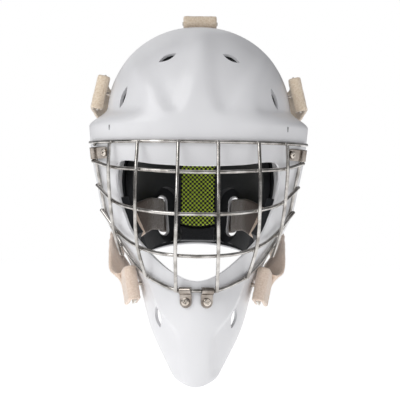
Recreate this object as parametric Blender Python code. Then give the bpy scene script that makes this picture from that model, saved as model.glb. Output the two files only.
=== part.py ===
"""Ice hockey goalie mask: composite shell, wire cage, padded back plate and five elastic straps.

The mask faces -Y and its left-right middle plane is X = 0. The origin is the middle of the head's space.
Lengths below are in millimetres and become metres when a mesh is made.
"""

import math

import bmesh
import bpy
import numpy as np
from mathutils import Matrix, Vector

MM = 0.001
GAP = 0.35                      # clearance between neighbouring pieces
SHELL_WALL = 3.3
SHELL_TOP = 180.0
WIRE = 3.6                      # diameter of a cage wire
STRAP_WIDTH = 35.0
STRAP_THICK = 4.0
LINER_THICK = 11.0
PLATE_WALL = 3.0
PLATE_PAD_THICK = 8.0
HEART = np.array([0.0, -5.0, 10.0])     # every shell point is found along a ray from here
SHELL_AROUND = 72               # cells round the face opening
SHELL_ACROSS = 11               # cells from the face opening to the rear edge

# Shell sections: (height, value) pairs, smooth between them.
HALF_WIDTH = [(-200, 6), (-186, 15.5), (-174, 26.3), (-156, 36.6), (-133, 47.8), (-97, 58.5), (-78, 64),
              (-60, 72), (-46, 81), (-33, 90), (-15, 98.5), (10, 104.2), (48, 111.3), (75, 114)]
FRONT_DEPTH = [(-200, 104), (-185, 108), (-140, 119.5), (-100, 128), (-85, 126.5), (-60, 122), (-20, 118),
               (34, 113), (62, 112)]
# Opening and rear edge, from the top middle to the bottom middle, as matching stations.
OPENING_XZ = [(0, 33.6), (42, 35), (76, 38.2), (82.5, 26), (80, 3), (74, -15), (65, -35), (45.5, -55.5),
              (22.5, -72.5), (0, -79.5)]
REAR_XYZ = [(0, 52, 170), (60, 54, 140), (95, 52, 90), (104, 48, 40), (101, 42, 0), (92, 28, -35),
            (72, -4, -66), (53.5, -54, -110), (31, -84, -158), (0, -107.5, -185.5)]
RIM_XZ = [(0, -89.4), (17, -89), (38, -81), (56, -68), (76.5, -41), (90.5, -15), (97, 16), (101.5, 40),
          (103, 53)]
TOP_BAR_Z = 57.0
HINGE_YZ = (60.0, 162.0)        # the back plate's tilt axis, under the top strap at the crown's rear edge


def curve_through(points):
    """A smooth function of position through (position, value) pairs."""
    knots = np.array(points, dtype=float)
    at, value = knots[:, 0], knots[:, 1]
    slope = np.gradient(value, at)

    def read(position):
        inside = np.clip(position, at[0], at[-1])
        i = np.clip(np.searchsorted(at, inside) - 1, 0, len(at) - 2)
        step = at[i + 1] - at[i]
        u = (inside - at[i]) / step
        start = (2 * u**3 - 3 * u**2 + 1) * value[i] + (u**3 - 2 * u**2 + u) * step * slope[i]
        return start + (3 * u**2 - 2 * u**3) * value[i + 1] + (u**3 - u**2) * step * slope[i + 1]

    return read


def ramp(low, high, value):
    """0 below low, 1 above high, smooth between."""
    u = np.clip((value - low) / (high - low), 0.0, 1.0)
    return u * u * (3 - 2 * u)


def dome(size, start, power, z):
    """A rounded profile of the given size at height start, closing at the top of the shell."""
    rise = np.clip((z - start) / (SHELL_TOP - start), 0.0, 1.0)
    return size * (1 - rise**power) ** (1 / power)


lower_width = curve_through(HALF_WIDTH)
lower_depth = curve_through(FRONT_DEPTH)


def half_width(z):
    flare = ramp(75, 93, z)
    return (1 - flare) * lower_width(z) + flare * dome(96, 80, 2.15, z) + 0.01


def front_depth(z):
    return np.where(z > 62, dome(112, 62, 2.3, z), lower_depth(z)) + 0.01


def rear_depth(z):
    return dome(153, 40, 2.2, z) + 0.01


# Where a level section of the shell is widest: amidships above, well forward at the chin.
widest_y = curve_through([(-200, -95), (-180, -90), (-155, -80), (-120, -60), (-70, -22), (-25, -2), (0, 0)])


def outside_shell(p):
    """Above 0 outside the shell's outer surface, below 0 inside it."""
    x, y, z = np.abs(p[..., 0]), p[..., 1], p[..., 2]
    middle = widest_y(z)
    front = y < middle
    reach = np.where(front, middle + front_depth(z), rear_depth(z))
    power = np.where(front, 2.0 + 0.35 * ramp(-30, 70, z), 2.0)
    return (x / half_width(z)) ** power + (np.abs(y - middle) / reach) ** power - 1


plate_width = curve_through([(-80, 76), (-40, 86), (20, 92), (70, 88), (110, 74), (150, 52)])
plate_depth = curve_through([(-80, 134), (-40, 146), (20, 153), (70, 150), (110, 136), (150, 106)])


def outside_plate(p):
    """Above 0 outside the back plate's outer surface, below 0 inside it."""
    x, y, z = np.abs(p[..., 0]), p[..., 1], p[..., 2]
    return (x / plate_width(z)) ** 2.2 + (np.clip(y, 0, None) / plate_depth(z)) ** 2.2 - 1


def normal_at(outside, p):
    """The outward unit normal of a surface at points on it."""
    step = 0.4
    slopes = [
        outside(p + np.eye(3)[axis] * step) - outside(p - np.eye(3)[axis] * step)
        for axis in range(3)
    ]
    n = np.stack(slopes, axis=-1)
    return n / np.linalg.norm(n, axis=-1, keepdims=True)


def along_rays(outside, start, direction, reach=320.0):
    """Where each ray from start leaves the surface."""
    near = np.zeros(direction.shape[:-1])
    far = near + reach
    for _ in range(34):
        middle = (near + far) / 2
        out = outside(start + direction * middle[..., None]) > 0
        far = np.where(out, middle, far)
        near = np.where(out, near, middle)
    return start + direction * near[..., None]


def front_point(x, z):
    """The shell's front surface straight ahead of (x, z)."""
    start = np.array([x, widest_y(np.array(z)) - 0.01, z], dtype=float)
    return along_rays(outside_shell, start, np.array([0.0, -1.0, 0.0]), 160.0)


def side_point(y, z):
    """The shell's surface straight out to +X from (y, z)."""
    start = np.array([0.0, y, z], dtype=float)
    return along_rays(outside_shell, start, np.array([1.0, 0.0, 0.0]), 160.0)


def station_curve(points):
    """A smooth curve through stations 0, 1, 2..., mirrored to negative stations."""
    table = np.array(points, dtype=float)
    last = len(points) - 1
    stations = list(range(-last, last + 1))
    axes = []
    for axis in range(table.shape[1]):
        sign = -1 if axis == 0 else 1
        values = [sign * table[-s, axis] if s < 0 else table[s, axis] for s in stations]
        # One wrapped station at each end keeps the bottom middle smooth.
        low = (-last - 1, -values[1] if axis == 0 else values[1])
        high = (last + 1, -values[-2] if axis == 0 else values[-2])
        axes.append(curve_through([low] + list(zip(stations, values)) + [high]))

    def read(station):
        return np.stack([axis(station) for axis in axes], axis=-1)

    return read


opening_xz = station_curve(OPENING_XZ)
rear_xyz = station_curve(REAR_XYZ)
LAST_STATION = len(OPENING_XZ) - 1


def opening_point(station):
    x, z = opening_xz(np.array(station))
    return front_point(x, z)


def shell_ray(station, across):
    """The direction from the heart at a station, across 0 (face opening) to 1 (rear edge)."""
    first = opening_point(station) - HEART
    last = rear_xyz(np.array(station)) - HEART
    first /= np.linalg.norm(first)
    last /= np.linalg.norm(last)
    angle = math.acos(float(np.clip(first @ last, -1, 1)))
    return (math.sin((1 - across) * angle) * first + math.sin(across * angle) * last) / math.sin(angle)


def shell_point(station, across):
    return along_rays(outside_shell, HEART, shell_ray(station, across))


ridge_edge = curve_through([(86, 21), (100, 15), (114, 11), (138, 8.6), (175, 7.6)])
scoop_edge = curve_through([(84, 25), (95.5, 37.6), (116, 47), (141, 65), (160, 74)])
temple_edge = curve_through([(81, 60.5), (96, 57.5), (114, 62), (131, 68.5), (144, 72), (160, 80)])
chin_edge = curve_through([(-184, 12), (-171, 14), (-145, 15), (-134, 17), (-112, 34), (-80, 49)])


def relief(p):
    """How far the outer surface is pressed in at p: brow scoops and the chin's side panels."""
    x, z = np.abs(p[..., 0]), p[..., 2]
    front = ramp(5, 45, -p[..., 1])
    brow = ramp(82, 94, z) * (1 - ramp(160, 177, z)) * front
    scoop = ramp(0, 6, x - ridge_edge(z)) * ramp(0, 6, scoop_edge(z) - x)
    temple = ramp(0, 6, x - temple_edge(z)) * (1 - ramp(80, 90, x))
    chin = ramp(74, 86, -z) * ramp(0, 5, x - chin_edge(z)) * front
    return -5.0 * scoop * brow - 3.5 * temple * brow - 3.0 * chin


def metres(p):
    return Vector((float(p[0]) * MM, float(p[1]) * MM, float(p[2]) * MM))


def material(name, colour, metallic, roughness):
    made = bpy.data.materials.new(name)
    made.use_nodes = True
    shader = made.node_tree.nodes["Principled BSDF"]
    shader.inputs["Base Color"].default_value = (*colour, 1)
    shader.inputs["Metallic"].default_value = metallic
    shader.inputs["Roughness"].default_value = roughness
    return made


def add_object(name, mesh_maker, finish, smooth=True):
    """Link a new object whose mesh the maker fills in, with faces pointing out."""
    shape = bmesh.new()
    mesh_maker(shape)
    data = bpy.data.meshes.new(name)
    shape.to_mesh(data)
    shape.free()
    if smooth:
        data.shade_smooth()
        data.set_sharp_from_angle(angle=math.radians(40))
    data.materials.append(finish)
    piece = bpy.data.objects.new(name, data)
    bpy.context.collection.objects.link(piece)
    return piece


def sheet(rows, closed=False):
    """A mesh maker for a grid of points; closed joins the last row to the first."""

    def fill(shape):
        grid = [[shape.verts.new(metres(p)) for p in row] for row in rows]
        count = len(grid) if closed else len(grid) - 1
        for i in range(count):
            this, after = grid[i], grid[(i + 1) % len(grid)]
            for j in range(len(this) - 1):
                shape.faces.new((this[j], this[j + 1], after[j + 1], after[j]))
        bmesh.ops.recalc_face_normals(shape, faces=shape.faces)

    return fill


def thicken(piece, thickness, offset):
    """Solidify: offset -1 grows against the face normals, 1 along them."""
    wall = piece.modifiers.new("wall", "SOLIDIFY")
    wall.thickness = thickness * MM
    wall.offset = offset
    wall.use_even_offset = True
    wall.use_rim = True


def cut(piece, cutter):
    hole = piece.modifiers.new("cut", "BOOLEAN")
    hole.operation = "DIFFERENCE"
    hole.solver = "EXACT"
    hole.object = cutter


def face_outward(piece, middle):
    """Flip the faces of an open sheet that point towards the middle point."""
    shape = bmesh.new()
    shape.from_mesh(piece.data)
    away = sum((f.calc_center_median() - metres(middle)).dot(f.normal) for f in shape.faces)
    if away < 0:
        bmesh.ops.reverse_faces(shape, faces=shape.faces)
    shape.to_mesh(piece.data)
    shape.free()


def local_frame(origin, along, up):
    """A matrix whose X runs along, Z points up and origin lies at the given point."""
    z = Vector(up).normalized()
    x = Vector(along)
    x = (x - z * x.dot(z)).normalized()
    y = z.cross(x)
    turn = Matrix((x, y, z)).transposed().to_4x4()
    return Matrix.Translation(metres(origin)) @ turn


def plate_outline(outline, half_span):
    """A mesh maker: an outline in (along, up) pushed out to both sides of the middle plane."""

    def fill(shape):
        ring = [shape.verts.new((a * MM, -half_span * MM, h * MM)) for a, h in outline]
        face = shape.faces.new(ring)
        pushed = bmesh.ops.extrude_face_region(shape, geom=[face])
        moved = [g for g in pushed["geom"] if isinstance(g, bmesh.types.BMVert)]
        bmesh.ops.translate(shape, verts=moved, vec=(0, 2 * half_span * MM, 0))
        bmesh.ops.recalc_face_normals(shape, faces=shape.faces)

    return fill


def turned(profile, sides=10):
    """A mesh maker: a (radius, height) profile spun about Z. Radius 0 ends close the shape."""

    def fill(shape):
        points = [shape.verts.new((r * MM, 0, h * MM)) for r, h in profile]
        edges = [shape.edges.new(pair) for pair in zip(points, points[1:])]
        if profile[0][0] > 0:
            edges.append(shape.edges.new((points[-1], points[0])))
        bmesh.ops.spin(shape, geom=points + edges, cent=(0, 0, 0), axis=(0, 0, 1), steps=sides,
                       angle=2 * math.pi, use_merge=True)
        bmesh.ops.remove_doubles(shape, verts=shape.verts, dist=1e-6)
        bmesh.ops.recalc_face_normals(shape, faces=shape.faces)

    return fill


def wire(name, points, finish):
    """A round wire along a list of points, with filled ends."""
    path = bpy.data.curves.new(name, "CURVE")
    path.dimensions = "3D"
    path.bevel_depth = WIRE / 2 * MM
    path.bevel_resolution = 1
    path.use_fill_caps = True
    run = path.splines.new("POLY")
    run.points.add(len(points) - 1)
    for knot, p in zip(run.points, points):
        knot.co = (*metres(p), 1)
    path.materials.append(finish)
    piece = bpy.data.objects.new(name, path)
    bpy.context.collection.objects.link(piece)
    return piece


def smooth_path(points, count):
    """Evenly spaced points on a smooth curve through the given ones."""
    table = np.array(points, dtype=float)
    lengths = np.r_[0, np.cumsum(np.linalg.norm(np.diff(table, axis=0), axis=1))]
    axes = [curve_through(list(zip(lengths, table[:, axis]))) for axis in range(3)]
    fine = np.linspace(0, lengths[-1], 400)
    trace = np.stack([axis(fine) for axis in axes], axis=-1)
    run = np.r_[0, np.cumsum(np.linalg.norm(np.diff(trace, axis=0), axis=1))]
    even = np.linspace(0, run[-1], count)
    return np.stack([np.interp(even, run, trace[:, axis]) for axis in range(3)], axis=-1)


def mirrored(points):
    return [np.array([-p[0], p[1], p[2]]) for p in points]


def both_sides(points):
    """Points from the middle out, made into one run from -X to +X."""
    return mirrored(points)[:0:-1] + list(points)


# Cage ------------------------------------------------------------------------------------------

WIRE_STANDOFF = WIRE / 2 + 0.8


def on_shell(x, z, lift):
    p = front_point(x, z)
    return p + normal_at(outside_shell, p) * lift


rim_width = curve_through(sorted((z, x) for x, z in RIM_XZ))
RIM_LOW = RIM_XZ[0][1]


def cage_point(x, z, lift=0.0):
    """A point of the cage's bulging surface, lifted outward by lift."""

    def bare(px, pz):
        base = on_shell(px, pz, WIRE_STANDOFF)
        level = (TOP_BAR_Z - pz) / (TOP_BAR_Z - RIM_LOW)
        bulge = 18.5 * math.sin(math.pi * min(max(level, 0.0), 1.0)) ** 0.8
        side = min(abs(px) / float(rim_width(np.array(pz))), 1.0)
        base[1] -= bulge * (1 - side**4)
        return base

    p = bare(x, z)
    if lift == 0.0:
        return p
    across = bare(x + 1.0, z) - bare(x - 1.0, z)
    upward = bare(x, z + 1.0) - bare(x, z - 1.0)
    n = np.cross(across, upward)
    n /= np.linalg.norm(n)
    return p + n * lift * (1 if n[1] < 0 else -1)


def rim_point(x, z, lift=0.0):
    return on_shell(x, z, WIRE_STANDOFF + lift)


def lap_end(z, lift):
    """A bar's last point: over the rim wire, outside it."""
    return rim_point(float(rim_width(np.array(z))), z, lift)


def build_cage(steel):
    lap = WIRE + GAP
    rim_half = smooth_path([rim_point(x, z) for x, z in RIM_XZ], 22)
    wire("cage_rim_wire", both_sides(rim_half), steel)

    brow_x = [0, 25, 50, 72, 90, 102, 108.5]
    brow = [on_shell(x, TOP_BAR_Z + 0.7, WIRE_STANDOFF) for x in brow_x]
    wire("cage_top_bar", both_sides(smooth_path(brow, 16)), steel)

    bars = {
        "cage_eye_bar": ([(0, 27.3), (30, 28), (60, 30), (84, 32.4)], 39.5),
        "cage_nose_bar": ([(0, -14), (20, -13.8), (42, -12), (62, -8.6), (84, -0.5)], 15.5),
        "cage_mouth_bar": ([(0, -55.5), (20, -54.6), (38, -52.2), (56, -46.5), (78, -32)], -9.5),
    }
    for name, (route, end_z) in bars.items():
        half = [cage_point(x, z) for x, z in route]
        half.append(lap_end(end_z, lap))
        wire(name, both_sides(smooth_path(half, 15)), steel)

    crossing = lap + 0.3
    uprights = {
        "inner": [(19.2, 55.5), (19.2, 27), (19.1, -14), (18.6, -55), (17.2, -91)],
        "middle": [(57.4, 55.5), (57.7, 29), (57, -8), (53.5, -46), (44.5, -77)],
        "outer": [(84.2, 55.5), (84.4, 33), (82.2, 1), (78, -30), (70.8, -54)],
    }
    for name, route in uprights.items():
        half = []
        for x, z in route[:-1]:
            half.append(cage_point(x, z, crossing))
        half.append(rim_point(*route[-1], crossing + 0.3))
        run = smooth_path(half, 15)
        wire(f"cage_upright_{name}_right", run, steel)
        wire(f"cage_upright_{name}_left", mirrored(run), steel)


# Shell -----------------------------------------------------------------------------------------

# Each vent's name, x, z, length, width and slant in degrees.
VENTS = [
    ("brow", 33.7, 146.6, 20, 8.5, 31),
    ("side", 79.5, 104, 24, 8.5, 66),
    ("chin", 40.5, -117, 22, 10, -70),
]
CLIP_SCREWS = {"chin": (10.0, -100.0), "temple": (93.0, 47.0)}
SCREW_HOLE = 2.6


def vent_outline(length, width):
    """A lens: two matching arcs that meet in points."""
    ends = np.linspace(-1, 1, 9)
    upper = [(t * length / 2, (1 - t * t) * width / 2) for t in ends]
    lower = [(t * length / 2, -(1 - t * t) * width / 2) for t in ends[-2:0:-1]]
    return upper + lower


def prism(name, outline, low, high, frame):
    """A closed prism: an outline in the frame's XY plane, from low to high along its Z."""

    def fill(shape):
        face = shape.faces.new([shape.verts.new((a * MM, b * MM, low * MM)) for a, b in outline])
        pushed = bmesh.ops.extrude_face_region(shape, geom=[face])
        moved = [g for g in pushed["geom"] if isinstance(g, bmesh.types.BMVert)]
        bmesh.ops.translate(shape, verts=moved, vec=(0, 0, (high - low) * MM))
        bmesh.ops.recalc_face_normals(shape, faces=shape.faces)

    piece = add_object(name, fill, bpy.data.materials["cutter"], smooth=False)
    piece.matrix_world = frame
    piece.hide_render = True
    piece.display_type = "WIRE"
    return piece


def circle(radius, sides=10):
    turns = [2 * math.pi * (i + 0.5) / sides for i in range(sides)]
    return [(radius * math.cos(a), radius * math.sin(a)) for a in turns]


def shell_frame(p, along):
    """A frame on the finished outer surface, its Z along the surface normal."""
    n = normal_at(outside_shell, p)
    return local_frame(p + n * float(relief(p)), along, n)


def shell_grid(stations, acrosses, sunk, with_relief=False):
    """Rows of points on the shell, pressed in by sunk."""
    rows = []
    for station in stations:
        around = (station + LAST_STATION) % (2 * LAST_STATION) - LAST_STATION
        rays = np.stack([shell_ray(around, a) for a in acrosses])
        p = along_rays(outside_shell, HEART, rays)
        depth = sunk - (relief(p) if with_relief else 0)
        rows.append(p - normal_at(outside_shell, p) * np.reshape(depth, (-1, 1)))
    return rows


def build_shell(finish):
    stations = np.linspace(-LAST_STATION, LAST_STATION, SHELL_AROUND + 1)[:-1]
    rows = shell_grid(stations, np.linspace(0, 1, SHELL_ACROSS + 1), 0.0, with_relief=True)
    shell = add_object("mask_shell", sheet(rows, closed=True), finish)
    face_outward(shell, HEART)
    thicken(shell, SHELL_WALL, -1)
    for name, x, z, length, width, slant in VENTS:
        for side in (-1, 1):
            p = front_point(side * x, z)
            lean = math.radians(slant)
            frame = shell_frame(p, (-side * math.cos(lean), 0, math.sin(lean)))
            cut(shell, prism(f"vent_cutter_{name}_{side}", vent_outline(length, width), -14, 14, frame))
    for name, (x, z) in CLIP_SCREWS.items():
        for side in (-1, 1):
            frame = shell_frame(front_point(side * x, z), (0, 0, 1))
            cut(shell, prism(f"screw_cutter_{name}_{side}", circle(SCREW_HOLE), -12, 12, frame))
    for name, frame in strap_anchors().items():
        cut(shell, prism(f"rivet_cutter_{name}", circle(SCREW_HOLE), -12, 12, frame))


# Liner pads ------------------------------------------------------------------------------------


def liner_pad(name, stations, acrosses, thick, finish, around=9, across=7, sunk=SHELL_WALL + 1.4):
    rows = shell_grid(np.linspace(*stations, around), np.linspace(*acrosses, across), sunk)
    pad = add_object(name, sheet(rows), finish)
    face_outward(pad, HEART)
    thicken(pad, thick, -1)
    return pad


def build_liner(foam):
    liner_pad("sweatband", (-1.75, 1.75), (0.03, 0.2), 9, foam, around=13, across=4)
    under_scoops = SHELL_WALL + 6.6
    liner_pad("forehead_pad", (-1.7, 1.7), (0.225, 0.52), LINER_THICK, foam, around=11, sunk=under_scoops)
    liner_pad("crown_pad", (-1.2, 1.2), (0.55, 0.97), LINER_THICK, foam, sunk=under_scoops)
    for side, word in ((-1, "left"), (1, "right")):
        beside_scoops = SHELL_WALL + 2.4
        liner_pad(f"temple_pad_{word}", (side * 2.3, side * 3.9), (0.36, 0.92), LINER_THICK, foam,
                  sunk=beside_scoops)
        liner_pad(f"jaw_pad_{word}", (side * 4.1, side * 6.0), (0.06, 1.03), LINER_THICK, foam)
    liner_pad("chin_pad", (8.1, 2 * LAST_STATION - 8.1), (0.02, 0.1), 7, foam, across=3)


# Fasteners -------------------------------------------------------------------------------------

# Turned profiles as (radius, height) pairs; height 0 is the shell's or the plate's outer face.
SCREW_HEAD = [(0, 4.4), (2.0, 4.2), (3.6, 3.4), (4.0, 2.0), (2.0, 2.0), (2.0, -8.5), (0, -8.5)]
NUT = [(2.35, -4.6), (6.0, -4.6), (6.0, -5.4), (3.5, -5.4), (3.5, -8.8), (2.35, -8.8)]
PLATE_RIVET = [(0, 6.5), (2.8, 6.2), (4.4, 5.4), (4.4, 5.0), (2.0, 5.0)] + \
    [(2.0, -3.6), (4.2, -3.6), (4.2, -4.4), (0, -4.4)]


def put(name, maker, frame, finish, smooth=True):
    piece = add_object(name, maker, finish, smooth)
    piece.matrix_world = frame
    return piece


FOOT_HALF = 5.5                             # from the screw's axis to the free end of a clip's foot
FOOT_LOW, FOOT_HIGH = 0.5, 1.7              # the foot's faces, above the shell
CLIP_WIDTH = 12.0


def clip_outline(reach):
    """Section of a clip: a flat foot under the screw that arches over the rim wire at reach."""
    inner, outer = WIRE / 2 + 0.65, WIRE / 2 + 1.85
    hub = WIRE_STANDOFF
    under = [(reach - inner * math.cos(t), hub + inner * math.sin(t)) for t in np.linspace(0, math.pi, 9)]
    bend = np.linspace(0, 0.83 * math.pi, 9)
    over = [(reach + outer * math.cos(t), hub + outer * math.sin(t)) for t in bend]
    foot = [(-FOOT_HALF, FOOT_LOW), (reach - inner, FOOT_LOW)]
    tip = [(reach + inner, FOOT_LOW + 0.1), (reach + outer, FOOT_LOW + 0.1)]
    back = [(reach - outer - 0.4, FOOT_HIGH), (-FOOT_HALF, FOOT_HIGH)]
    return foot + under + tip + over + back


def build_clips(steel):
    for name, (x, z) in CLIP_SCREWS.items():
        for side, word in ((-1, "left"), (1, "right")):
            p = front_point(side * x, z)
            n = normal_at(outside_shell, p)
            if name == "chin":
                target = rim_point(side * x, RIM_LOW)
            else:
                target = rim_point(side * float(rim_width(np.array(z))), z)
            along = target - p
            reach = float(np.linalg.norm(along - n * (along @ n)))
            frame = local_frame(p, along, n)
            bent = plate_outline(clip_outline(reach), CLIP_WIDTH / 2)
            clip = put(f"{name}_clip_{word}", bent, frame, steel, smooth=False)
            cut(clip, prism(f"clip_cutter_{name}_{side}", circle(SCREW_HOLE), -1, 3, frame))
            put(f"{name}_screw_{word}", turned(SCREW_HEAD), frame, steel)
            put(f"{name}_screw_nut_{word}", turned(NUT), frame, steel)


# Straps and their keepers ----------------------------------------------------------------------

SLOT = (41.5, -18.5, 13.0, 43.0)        # a strap slot's middle x, z, width and height
KEEPER_LOW, KEEPER_HIGH = 5.0, 7.1      # the keeper plate's faces, above the shell
KEEPER_HALF = 8.0                       # half the keeper's length along the strap
LOWER_LAYER, UPPER_LAYER = 2.6, 11.5    # the folded strap's two centre lines, above the shell
PACKING = {"top": 0.0, "upper": 3.0, "lower": 4.4}      # how far the curved shell makes each keeper stand off


def raised(height):
    return Matrix.Translation((0, 0, height * MM))


def shell_rivet(packing):
    """Profile of a rivet through keeper, strap, packing and shell."""
    tail = -4.4 - packing * 1.8
    head = [(0, 9.0), (2.8, 8.8), (4.4, 7.9), (4.4, 7.5), (2.0, 7.5)]
    return head + [(2.0, tail), (4.2, tail), (4.2, tail - 0.8), (0, tail - 0.8)]


def strap_anchors():
    """Each keeper's frame: over the shell, X towards the strap's fold and Z away from the shell."""
    crown = along_rays(outside_shell, np.array([0.0, 17.0, 60.0]), np.array([0.0, 0.0, 1.0]))
    anchors = {"top": shell_frame(crown, (0, -1, 0))}
    for side, word in ((-1, "left"), (1, "right")):
        temple = side_point(-16.0, 108.0) * np.array([side, 1, 1])
        anchors[f"upper_{word}"] = shell_frame(temple, (0, -1, 0)) @ raised(PACKING["upper"])
        lower = shell_frame(front_point(side * 58.4, -85.6), (-side * 0.5, -0.8, 0.28))
        anchors[f"lower_{word}"] = lower @ raised(PACKING["lower"])
    return anchors


def keeper_outline():
    """Side view of a keeper: a plate with a rounded front edge, in (along, up)."""
    middle = (KEEPER_LOW + KEEPER_HIGH) / 2
    half = (KEEPER_HIGH - KEEPER_LOW) / 2
    turns = np.linspace(-1.4, 1.4, 6)
    under = [(-KEEPER_HALF, KEEPER_LOW), (KEEPER_HALF, KEEPER_LOW)]
    nose = [(KEEPER_HALF + half * math.cos(t), middle + half * math.sin(t)) for t in turns]
    over = [(KEEPER_HALF, KEEPER_HIGH), (-KEEPER_HALF, KEEPER_HIGH)]
    return under + nose + over


def strap_routes():
    """Where each strap goes after its fold: (point, width direction) pairs, and its end on the plate."""
    across = (1, 0, 0)
    over_crown = [((0, 42, 188), across), ((0, 66, 177), across), ((0, 92, 162), across)]
    routes = {"top": (over_crown, (0, 112), (0, 0, 1))}
    for side, word in ((-1, "left"), (1, "right")):
        outward = (side, 0, 0)
        round_temple = [
            ((side * 105, 18, 108), (side * -0.38, 0.0, 0.92)),
            ((side * 101, 62, 101), (side * -0.3, 0.0, 0.95)),
            ((side * 87, 92, 95), (side * -0.25, 0.0, 0.97)),
        ]
        routes[f"upper_{word}"] = (round_temple, (side * 58, 88), outward)
        outside = [
            ((side * 78.6, -27, -66), (side * 0.62, 0.1, 0.78)),
            ((side * 81.5, 6, -56), (side * 0.58, 0.1, 0.81)),
            ((side * 85.5, 29, -52), (side * 0.3, 0.1, 0.95)),
            ((side * 82, 50, -40), (0, 0.1, 1)),
        ]
        inside = [(71, 22.6), (64, 21.2), (56.5, 18.6), (51, 16), (47, 11), (43.5, 4.5), (40, -1), (34, -4.3)]
        threaded = [(tuple(plate_point(side * x, SLOT[1], sunk)), (0, -0.12, -1)) for x, sunk in inside]
        routes[f"lower_{word}"] = (outside + threaded, (side * 18, SLOT[1]), outward)
    return routes


def plate_point(x, z, sunk=0.0):
    start = np.array([x, 0.0, z], dtype=float)
    p = along_rays(outside_plate, start, np.array([0.0, 1.0, 0.0]), 200.0)
    return p - normal_at(outside_plate, p) * sunk


def plate_frame(x, z, along):
    p = plate_point(x, z)
    return local_frame(p, along, normal_at(outside_plate, p))


def at_frame(frame, along, up):
    """A point along and above a frame's origin, in millimetres."""
    return np.array(frame @ Vector((along * MM, 0, up * MM))) / MM


def strap_line(frame, route):
    """The centre line and width directions of a strap: under layer, fold, upper layer, route, end."""
    width = np.array(frame.to_3x3() @ Vector((0, 1, 0)))
    radius = (UPPER_LAYER - LOWER_LAYER) / 2
    hub = (UPPER_LAYER + LOWER_LAYER) / 2
    line = [at_frame(frame, a, LOWER_LAYER) for a in (-11, -3, 5)]
    line += [at_frame(frame, KEEPER_HALF + radius * math.sin(t), hub - radius * math.cos(t))
             for t in np.linspace(0, math.pi, 8)]
    line += [at_frame(frame, a, UPPER_LAYER) for a in (3, -5)]
    widths = [width] * len(line)
    stops, end_at, end_along = route
    end = plate_frame(*end_at, end_along)
    end_width = np.array(end.to_3x3() @ Vector((0, 1, 0)))
    free = [at_frame(frame, a, UPPER_LAYER) for a in (-5, -13)]
    free += [np.array(p, dtype=float) for p, _ in stops]
    free += [at_frame(end, a, LOWER_LAYER) for a in (12, 2, -9)]
    free_widths = [width, width] + [np.array(w, dtype=float) for _, w in stops] + [end_width] * 3
    for i in range(1, len(free_widths)):
        if free_widths[i] @ free_widths[i - 1] < 0:
            free_widths[i] = -free_widths[i]
    count = 3 * len(free) + 4
    run = smooth_path(free, count)
    at = np.r_[0, np.cumsum(np.linalg.norm(np.diff(np.array(free), axis=0), axis=1))]
    along = np.linspace(0, at[-1], count)
    table = np.array(free_widths)
    spread = np.stack([np.interp(along, at, table[:, axis]) for axis in range(3)], axis=-1)
    return np.array(line + list(run[1:])), np.array(widths + list(spread[1:]))


def build_straps(elastic, plastic, steel):
    routes = strap_routes()
    for name, anchor in strap_anchors().items():
        line, widths = strap_line(anchor, routes[name])
        way = np.gradient(line, axis=0)
        way /= np.linalg.norm(way, axis=1, keepdims=True)
        widths = widths - way * np.sum(widths * way, axis=1, keepdims=True)
        widths /= np.linalg.norm(widths, axis=1, keepdims=True)
        rows = [[p - w * STRAP_WIDTH / 2, p + w * STRAP_WIDTH / 2] for p, w in zip(line, widths)]
        strap = add_object(f"{name}_elastic_strap", sheet(rows), elastic)
        thicken(strap, STRAP_THICK, 0)
        far = plate_frame(*routes[name][1], routes[name][2])
        cut(strap, prism(f"strap_cutter_{name}_front", circle(SCREW_HOLE), -2, 7.3, anchor))
        cut(strap, prism(f"strap_cutter_{name}_back", circle(SCREW_HOLE), -2, 7, far))
        plate = plate_outline(keeper_outline(), STRAP_WIDTH / 2 + 1)
        keeper = put(f"{name}_strap_keeper", plate, anchor, plastic, smooth=False)
        cut(keeper, prism(f"keeper_cutter_{name}", circle(SCREW_HOLE), 3, 9, anchor))
        put(f"{name}_keeper_rivet", turned(shell_rivet(PACKING[name.split("_")[0]])), anchor, steel)
        put(f"{name}_plate_rivet", turned(PLATE_RIVET), far, steel)


# Back plate ------------------------------------------------------------------------------------

plate_half_span = curve_through([(-66, 66), (-40, 75), (-10, 83), (25, 87), (60, 79), (100, 58), (140, 40)])
PAD_SEAM = 22.5                 # where the middle pads meet the side pads
PAD_BOTTOM, PAD_TOP = -48.0, 112.0
SLOT_ROOM = 19.0                # how much wider the side pad's hole is than the plate's slot


def rounded_slot(width, height):
    """A vertical slot with round ends, in (z, x) of a frame whose X points up."""
    radius = width / 2
    straight = height / 2 - radius
    top = [(straight + radius * math.sin(t), radius * math.cos(t)) for t in np.linspace(0, math.pi, 7)]
    return top + [(-a, -b) for a, b in top]


def plate_patch(name, finish, x_span, z_span, sunk, thick, columns, levels):
    """A patch of the back plate's surface: x_span and z_span give its edges at each level or column."""
    rows = []
    for a in np.linspace(0, 1, columns):
        row = []
        for b in np.linspace(0, 1, levels):
            low, high = z_span(a)
            z = low + (high - low) * b
            left, right = x_span(z)
            row.append(plate_point(left + (right - left) * a, z, sunk))
        rows.append(row)
    patch = add_object(name, sheet(rows), finish)
    face_outward(patch, (0, 0, 30))
    thicken(patch, thick, -1)
    return patch


def cut_slot(piece, side, grow):
    x, z, width, height = SLOT
    frame = plate_frame(side * x, z, (0, 0, 1))
    outline = rounded_slot(width + grow, height + grow)
    cut(piece, prism(f"slot_cutter_{piece.name}_{side}", outline, -30, 10, frame))


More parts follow.
